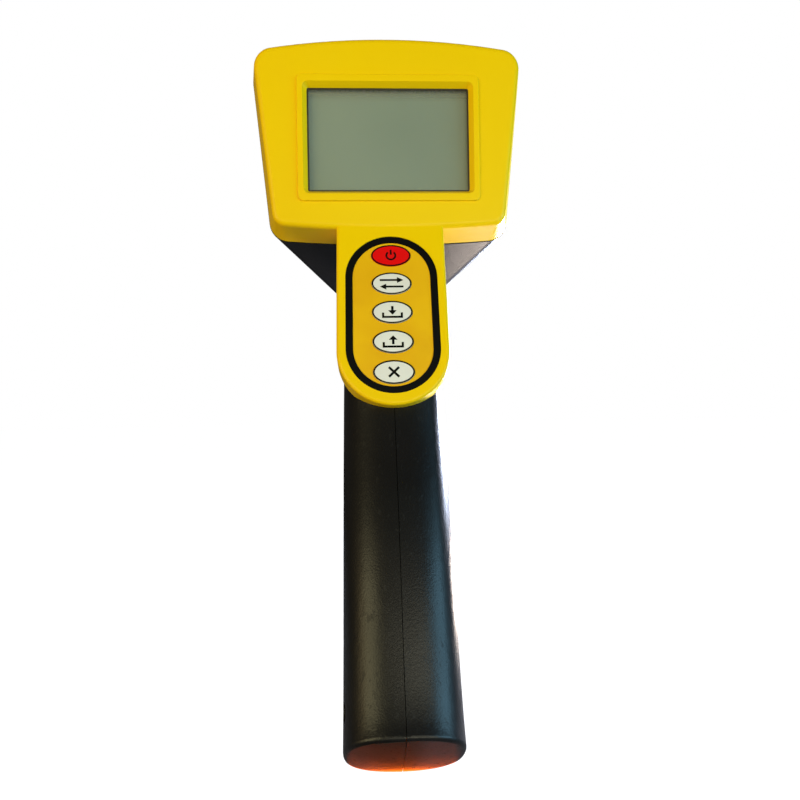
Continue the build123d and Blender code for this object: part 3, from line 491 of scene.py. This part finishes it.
def flat_ring(builder, half_x, half_y, width):
    """A flat oval line, drawn inside its outer half sizes."""
    bmesh.ops.create_circle(builder, cap_ends=True, radius=1.0, segments=RING_SEGMENTS)
    bmesh.ops.scale(builder, verts=builder.verts, vec=(half_x, half_y, 1))
    hollow_flat(builder, width)


def flat_arc(builder, radius, width, start, end):
    """A flat arc line from a start angle to an end angle, in degrees."""
    from_point = Vector((cos(radians(start)), sin(radians(start)), 0))
    ends = [builder.verts.new(from_point * (radius + side * width / 2)) for side in (-1, 1)]
    edge = builder.edges.new(ends)
    bmesh.ops.spin(
        builder, geom=[edge, *ends], cent=(0, 0, 0), axis=(0, 0, 1),
        angle=radians(end - start), steps=ARC_STEPS,
    )


# ---------------------------------------------------------------- key symbols
def draw_power(builder):
    """Open ring with a bar through its gap."""
    flat_arc(builder, 1.5 * MM, 0.62 * MM, 130, 410)
    flat_shape(builder, (-0.31, 0.3), (0.31, 0.3), (0.31, 2.15), (-0.31, 2.15))


def draw_units(builder):
    """Two arrows that point opposite ways."""
    upper = ((-3.9, 0.34), (1.8, 0.34), (1.8, 1.05))
    arrow = (*((x, -y) for x, y in upper), (3.9, 0.0), *reversed(upper))
    flat_shape(builder, *((x, y + 1.2) for x, y in arrow))
    flat_shape(builder, *((-x, -y - 1.2) for x, y in arrow))


def draw_tray(builder):
    """Open tray under the arrows of the store and recall keys."""
    right = ((3.4, -2.1), (3.4, -0.2), (2.7, -0.2), (2.7, -1.4))
    left = [(-x, y) for x, y in reversed(right)]
    flat_shape(builder, left[-1], *right, *left[:-1])


def draw_store(builder):
    """Arrow down into a tray."""
    draw_tray(builder)
    flat_shape(
        builder,
        (-0.4, 2.1), (-0.4, 0.6), (-1.4, 0.6), (0, -0.95), (1.4, 0.6), (0.4, 0.6), (0.4, 2.1),
    )


def draw_recall(builder):
    """Arrow up out of a tray."""
    draw_tray(builder)
    flat_shape(
        builder,
        (-0.4, -0.95), (0.4, -0.95), (0.4, 0.6), (1.4, 0.6), (0, 2.1), (-1.4, 0.6), (-0.4, 0.6),
    )


def draw_clear(builder):
    """Diagonal cross."""
    arm, half = 1.9, 0.55
    quarter = ((half, 0), (arm, arm - half), (arm - half, arm))
    points = []
    for turn in range(4):
        for x, y in quarter:
            points.append(((x, y), (-y, x), (-x, -y), (y, -x))[turn])
    flat_shape(builder, *points)


DRAWINGS = dict(zip(KEYS, (draw_power, draw_units, draw_store, draw_recall, draw_clear)))


# Each lamp's name, place, aim, side, power in watts and colour
LAMPS = (
    ("left_front_lamp", (-0.6, -0.7, 0.05), (0, -0.05, -0.07), 0.5, 3.3, (1.0, 0.9, 0.5)),
    ("front_lamp", (0.22, -0.88, -0.15), (0, -0.05, -0.07), 0.6, 4.2, (1.0, 0.95, 0.7)),
    ("lower_right_lamp", (0.55, -0.35, -0.1), (0, -0.05, -0.07), 0.45, 3.4, (0.35, 0.74, 1.0)),
    ("right_rim_lamp", (0.3, 0.3, -0.05), (0, -0.05, -0.07), 0.15, 6.0, (0.7, 0.78, 1.0)),
    ("right_under_lamp", (0.1, 0.03, -0.203), (0.03, -0.06, -0.13), 0.07, 0.5, (1.0, 0.85, 0.75)),
    ("lower_left_lamp", (-0.55, -0.35, -0.13), (0, -0.05, -0.07), 0.3, 0.5, (1.0, 0.7, 0.3)),
    ("warm_low_lamp", (0, -0.115, -0.2115), (0, -0.128, -0.1935), 0.036, 0.06, (1.0, 0.13, 0.005)),
)


# ---------------------------------------------------------------- operators
class HandleOperator:
    """Shared options of the operators."""

    bl_options = {"REGISTER", "UNDO"}


class HANDLE_OT_cover(HandleOperator, bpy.types.Operator):
    """Finish the yellow front cover and its rubber seal"""

    bl_idname = "handle.cover"
    bl_label = "Front Cover"

    def execute(self, context):
        look = context.scene.handle_finish
        mean = look.cover_roughness
        yellow = finish(
            "Yellow Cover", look.cover, look.cover_shade, (mean - 0.05, mean + 0.07),
            grain=2600.0, depth=0.012 * MM, drift=14.0, amount=0.5, ripple=0.5,
            Specular_IOR_Level=0.16,
        )
        dress_slot("yellow_cover", yellow)
        dress_slot("seal_rubber", finish(
            "Seal Rubber", (0.02, 0.019, 0.019), rough=(0.6, 0.75), depth=0.03 * MM))
        return {"FINISHED"}


class HANDLE_OT_housing(HandleOperator, bpy.types.Operator):
    """Finish the two housing halves and the battery door"""

    bl_idname = "handle.housing"
    bl_label = "Housing"

    def execute(self, context):
        look = context.scene.handle_finish
        mean = look.housing_roughness
        black = finish(
            "Black Housing", look.housing, look.housing_shade, (mean - 0.08, mean + 0.08),
            grain=1900.0, depth=0.035 * MM, drift=40.0, amount=0.8, smudge=35.0, scratches=0.5,
            ripple=0.4, Specular_IOR_Level=0.35,
        )
        dress_slot("black_housing", black)
        return {"FINISHED"}


class HANDLE_OT_socket(HandleOperator, bpy.types.Operator):
    """Finish the tube socket, its set screws and the sensor jack"""

    bl_idname = "handle.socket"
    bl_label = "Tube Socket"

    def execute(self, context):
        dress_slot("socket_grey", finish(
            "Socket Grey", (0.075, 0.075, 0.08), rough=(0.42, 0.56), grain=1400.0, depth=0.04 * MM))
        dress_slot("jack_nickel", metal("Jack Nickel", (0.74, 0.70, 0.62), (0.15, 0.28)))
        dress_slot("screw_black", metal("Blackened Screw", (0.07, 0.07, 0.075), (0.35, 0.5)))
        return {"FINISHED"}


class HANDLE_OT_display(HandleOperator, bpy.types.Operator):
    """Finish the display and its window, with painted shade at the display's top edge, and add a
    dark ring round the window as painted shade of the window's inner walls
    """

    bl_idname = "handle.display"
    bl_label = "Display"

    def execute(self, context):
        look = context.scene.handle_finish
        details = context.scene.handle_print
        dress_slot("window_clear", finish(
            "Window", (0.62, 0.66, 0.58), rough=(0.05, 0.09), scratches=0.6, Alpha=0.10, IOR=1.49))
        low, high = (Vector(corner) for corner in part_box("window_lens"))
        front_glass = finish(
            "Display Front Glass", look.display, rough=(0.12, 0.18), amount=0.5, drift=12.0,
            Alpha=0.6, IOR=1.5)
        # Painted shade and reflection of the window's upper wall, along the display's top edge
        paint_edge_shade(front_glass, look.display_edge_painted_shade, high.z, PAINTED_EDGE_SHADE_DEPTH)
        dress(["lcd_front_glass"], front_glass)
        dress(["lcd_rear_glass"], finish(
            "Display Rear Glass", look.display, rough=(0.2, 0.3), amount=0.5, drift=12.0,
            Alpha=0.7, IOR=1.5))
        dress_slot("display_back", finish(
            "Display Reflector", look.display, rough=(0.5, 0.6), amount=0.6, drift=12.0,
            grain=4000.0, depth=0.01 * MM))
        dress_slot("holder_white", finish(
            "Holder White", (0.80, 0.79, 0.75), rough=(0.4, 0.5), grain=1800.0, depth=0.02 * MM))
        dress_slot("zebra_rubber", finish(
            "Contact Rubber", (0.62, 0.34, 0.38), (0.10, 0.08, 0.08), (0.6, 0.7),
            drift=900.0, amount=2.0))
        # A thin dark ring round the window's opening: painted shade for the window's inner walls
        builder = bmesh.new()
        bmesh.ops.create_grid(builder, x_segments=1, y_segments=1, size=0.5)
        bmesh.ops.scale(builder, verts=builder.verts, vec=(*details.window, 1))
        hollow_flat(builder, details.shade_ring_width)
        raise_flat(builder, SHADE_RING_HEIGHT)
        up, out = Vector((0, 0, 1)), Vector((0, -1, 0))
        place = seat((low + high) / 2, STRIP_RIGHT, up, out, -low.y)
        bmesh.ops.transform(builder, matrix=place, verts=builder.verts)
        shade_ring = finish("Window Painted Shade Ring", (0.035, 0.022, 0.006), rough=(0.5, 0.7), depth=0.02 * MM)
        keep_piece("window_painted_shade_ring", builder, shade_ring, HANDLE)
        return {"FINISHED"}


class HANDLE_OT_keypad(HandleOperator, bpy.types.Operator):
    """Finish the keypad's ring, film, key caps and inner layers"""

    bl_idname = "handle.keypad"
    bl_label = "Keypad"

    def execute(self, context):
        look = context.scene.handle_finish
        dress_slot("ring_black", finish(
            "Ring Black", look.ink, rough=(0.5, 0.6), grain=3200.0, depth=0.01 * MM,
            Specular_IOR_Level=0.08))
        dress_slot("film_gold", finish(
            "Film Gold", look.film, look.film_shade, (0.45, 0.55), grain=4200.0, depth=0.02 * MM,
            drift=45.0, Specular_IOR_Level=0.25))
        dress_slot("key_red", finish(
            "Key Red", look.red_key, rough=(0.45, 0.55), grain=4200.0, depth=0.01 * MM, amount=0.5,
            Specular_IOR_Level=0.08))
        dress_slot("key_white", finish(
            "Key White", look.white_key, rough=(0.38, 0.48), grain=4200.0, depth=0.01 * MM,
            amount=0.3))
        dress_slot("film_clear", finish(
            "Clear Film", (0.62, 0.62, 0.6), rough=(0.2, 0.3), amount=0.6))
        dress_slot("dome_steel", metal("Dome Steel", (0.70, 0.69, 0.67), (0.12, 0.22)))
        return {"FINISHED"}


class HANDLE_OT_legends(HandleOperator, bpy.types.Operator):
    """Print each key's outline and symbol"""

    bl_idname = "handle.legends"
    bl_label = "Key Symbols"

    def execute(self, context):
        details = context.scene.handle_print
        ink = finish(
            "Key Ink", context.scene.handle_finish.ink, rough=(0.5, 0.6), grain=4200.0,
            depth=0.006 * MM, Specular_IOR_Level=0.08,
        )
        for key in KEYS:
            low, high = (Vector(corner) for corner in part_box(key))
            top = reach(key, STRIP_OUT)
            half_x = (high.x - low.x) / 2 - INK_INSET
            half_y = (reach(key, STRIP_UP) + reach(key, -STRIP_UP)) / 2 - INK_INSET
            place = seat(middle(key), STRIP_RIGHT, STRIP_UP, STRIP_OUT, top)
            outline = bmesh.new()
            flat_ring(outline, half_x, half_y, details.outline_width)
            raise_flat(outline, details.ink_height)
            bmesh.ops.transform(outline, matrix=place, verts=outline.verts)
            keep_piece(f"{key}_outline", outline, ink, f"{key}_cap")
            symbol = bmesh.new()
            DRAWINGS[key](symbol)
            bmesh.ops.scale(symbol, verts=symbol.verts, vec=[details.symbol_scale] * 3)
            many_sided = [face for face in symbol.faces if len(face.verts) > 4]
            bmesh.ops.triangulate(symbol, faces=many_sided)
            raise_flat(symbol, details.ink_height)
            bmesh.ops.transform(symbol, matrix=place, verts=symbol.verts)
            keep_piece(f"{key}_symbol", symbol, ink, f"{key}_cap")
        return {"FINISHED"}


class HANDLE_OT_electronics(HandleOperator, bpy.types.Operator):
    """Finish the main board and everything on it"""

    bl_idname = "handle.electronics"
    bl_label = "Electronics"

    def execute(self, context):
        dress_slot("board_green", finish(
            "Board Green", (0.02, 0.19, 0.06), (0.04, 0.30, 0.11), (0.25, 0.35),
            drift=420.0, amount=2.5))
        dress_slot("chip_black", finish(
            "Chip Black", (0.02, 0.02, 0.022), rough=(0.5, 0.65), grain=3000.0, depth=0.02 * MM))
        dress_slot("crystal_can", metal("Crystal Can", (0.72, 0.72, 0.70), (0.2, 0.3)))
        dress_slot("plug_nylon", finish(
            "Plug Nylon", (0.80, 0.77, 0.68), rough=(0.4, 0.5), grain=1500.0, depth=0.02 * MM))
        dress_slot("lead_grey", finish(
            "Lead Grey", (0.16, 0.16, 0.165), rough=(0.5, 0.6), depth=0.02 * MM))
        dress_slot("screw_steel", metal("Zinc Screw", (0.60, 0.60, 0.58)))
        return {"FINISHED"}


class HANDLE_OT_battery(HandleOperator, bpy.types.Operator):
    """Finish the battery bay and add the door's finger ribs"""

    bl_idname = "handle.battery"
    bl_label = "Battery Bay"

    def execute(self, context):
        dress_slot("holder_black", finish(
            "Holder Black", (0.03, 0.03, 0.032), rough=(0.45, 0.6), grain=1500.0, depth=0.04 * MM))
        dress_slot("cell_wrap", finish(
            "Cell Wrap", (0.05, 0.20, 0.36), (0.03, 0.12, 0.26), (0.22, 0.32), drift=60.0))
        dress_slot("contact_nickel", metal("Contact Nickel", (0.74, 0.71, 0.64), (0.2, 0.32)))
        dress_slot("lead_red", finish(
            "Lead Red", (0.5, 0.02, 0.015), rough=(0.45, 0.55), depth=0.02 * MM))
        dress_slot("lead_black", finish(
            "Lead Black", (0.015, 0.015, 0.015), rough=(0.45, 0.55), depth=0.02 * MM))
        black = bpy.data.materials["Black Housing"]
        details = context.scene.handle_print
        centre = middle("battery_door")
        skin = reach("battery_door", GRIP_BACK)
        builder = bmesh.new()
        for row in range(RIB_COUNT):
            made = bmesh.ops.create_cube(builder, size=1.0)["verts"]
            bmesh.ops.scale(builder, verts=made, vec=(details.rib_length, RIB_WIDTH, RIB_HEIGHT))
            along = (row - (RIB_COUNT - 1) / 2) * RIB_PITCH
            bmesh.ops.translate(builder, verts=made, vec=(0, along, 0))
        bmesh.ops.bevel(
            builder, geom=builder.edges[:], offset=RIB_BEVEL, segments=3, profile=0.5,
            affect="EDGES", material=-1,
        )
        ribs_middle = centre - GRIP_DOWN * RIBS_ABOVE_MIDDLE
        place = seat(ribs_middle, STRIP_RIGHT, -GRIP_DOWN, GRIP_BACK, skin - RIB_SUNK)
        bmesh.ops.transform(builder, matrix=place, verts=builder.verts)
        keep_piece("door_finger_ribs", builder, black, DOOR)
        return {"FINISHED"}


class HANDLE_OT_stage(HandleOperator, bpy.types.Operator):
    """Lay the floor and set the lamps and the camera"""

    bl_idname = "handle.stage"
    bl_label = "Stage"

    def execute(self, context):
        scene = context.scene
        stage = scene.handle_stage
        scene.view_settings.view_transform = "Standard"
        builder = bmesh.new()
        bmesh.ops.create_circle(
            builder, cap_ends=True, radius=FLOOR_RADIUS, segments=RING_SEGMENTS
        )
        floor_height = CAD_BOX[0][2] - stage.floor_gap
        bmesh.ops.translate(builder, verts=builder.verts, vec=(0, 0, floor_height))
        mesh = bpy.data.meshes.new("floor")
        builder.to_mesh(mesh)
        builder.free()
        pale = finish(
            "Pale Floor", stage.floor, rough=(0.7, 0.8), amount=0.1, drift=3.0, scratches=0.0,
            Specular_IOR_Level=0.1, Emission_Color=(1, 1, 1, 1),
        )
        tree = pale.node_tree
        seen = tree.nodes.new("ShaderNodeLightPath").outputs["Is Camera Ray"]
        glow = maths(tree, "MULTIPLY", seen, stage.floor_glow)
        tree.links.new(glow, tree.nodes["Principled BSDF"].inputs["Emission Strength"])
        mesh.materials.append(pale)
        floor = bpy.data.objects.new("floor", mesh)
        scene.collection.objects.link(floor)
        self.light_world(scene, stage.ambient)
        for name, place, aim, side, power, colour in LAMPS:
            self.lamp(name, place, aim, side, power * stage.lamp_level, colour)
        data = bpy.data.cameras.new("camera")
        data.lens = stage.lens
        data.sensor_width = SENSOR_WIDTH
        data.shift_x, data.shift_y = stage.shift
        data.clip_start = CLIP_START
        camera = bpy.data.objects.new("camera", data)
        camera.location = stage.camera_place
        camera.rotation_euler = stage.camera_turn
        scene.collection.objects.link(camera)
        scene.camera = camera
        return {"FINISHED"}

    @staticmethod
    def light_world(scene, strength):
        """Even light from all round, with a white backdrop behind the object."""
        world = bpy.data.worlds.new("studio")
        world.use_nodes = True
        tree = world.node_tree
        back = tree.nodes["Background"]
        back.inputs["Color"].default_value = (1, 1, 1, 1)
        seen = tree.nodes.new("ShaderNodeLightPath").outputs["Is Camera Ray"]
        level = maths(tree, "MULTIPLY", seen, 1.0 - strength)
        tree.links.new(maths(tree, "ADD", level, strength), back.inputs["Strength"])
        scene.world = world

    @staticmethod
    def lamp(name, place, aim, side, power, colour):
        """A square soft lamp that points at a place on the handle."""
        data = bpy.data.lights.new(name, "AREA")
        data.shape = "SQUARE"
        data.size = side
        data.energy = power
        data.color = colour
        lamp = bpy.data.objects.new(name, data)
        lamp.location = place
        lamp.visible_camera = False
        lamp.rotation_euler = (Vector(aim) - Vector(place)).to_track_quat("-Z", "Y").to_euler()
        bpy.context.scene.collection.objects.link(lamp)


class HANDLE_PT_sidebar(bpy.types.Panel):
    """Lists the handle's steps in the 3D view's sidebar"""

    bl_idname = "HANDLE_PT_sidebar"
    bl_label = "Measuring Wheel Handle"
    bl_space_type = "VIEW_3D"
    bl_region_type = "UI"
    bl_category = "Handle"

    def draw(self, context):
        for step in STEPS:
            self.layout.operator(step.bl_idname)
        for setting in SETTINGS:
            group = getattr(context.scene, setting)
            box = self.layout.box()
            for name in group.bl_rna.properties.keys():
                if name not in ("rna_type", "name"):
                    box.prop(group, name)


STEPS = (
    HANDLE_OT_cover,
    HANDLE_OT_housing,
    HANDLE_OT_socket,
    HANDLE_OT_display,
    HANDLE_OT_keypad,
    HANDLE_OT_legends,
    HANDLE_OT_electronics,
    HANDLE_OT_battery,
    HANDLE_OT_stage,
)
SETTINGS = {
    "handle_finish": HandleFinishSettings,
    "handle_print": HandlePrintSettings,
    "handle_stage": HandleStageSettings,
}


def register():
    for cls in (*SETTINGS.values(), *STEPS, HANDLE_PT_sidebar):
        bpy.utils.register_class(cls)
    for name, cls in SETTINGS.items():
        setattr(bpy.types.Scene, name, PointerProperty(type=cls))


def unregister():
    for name in SETTINGS:
        delattr(bpy.types.Scene, name)
    for cls in reversed((*SETTINGS.values(), *STEPS, HANDLE_PT_sidebar)):
        bpy.utils.unregister_class(cls)


def main():
    """Registers the add-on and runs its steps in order."""
    register()
    for step in STEPS:
        getattr(bpy.ops.handle, step.bl_idname.split(".")[1])()


if __name__ == "__main__":
    main()
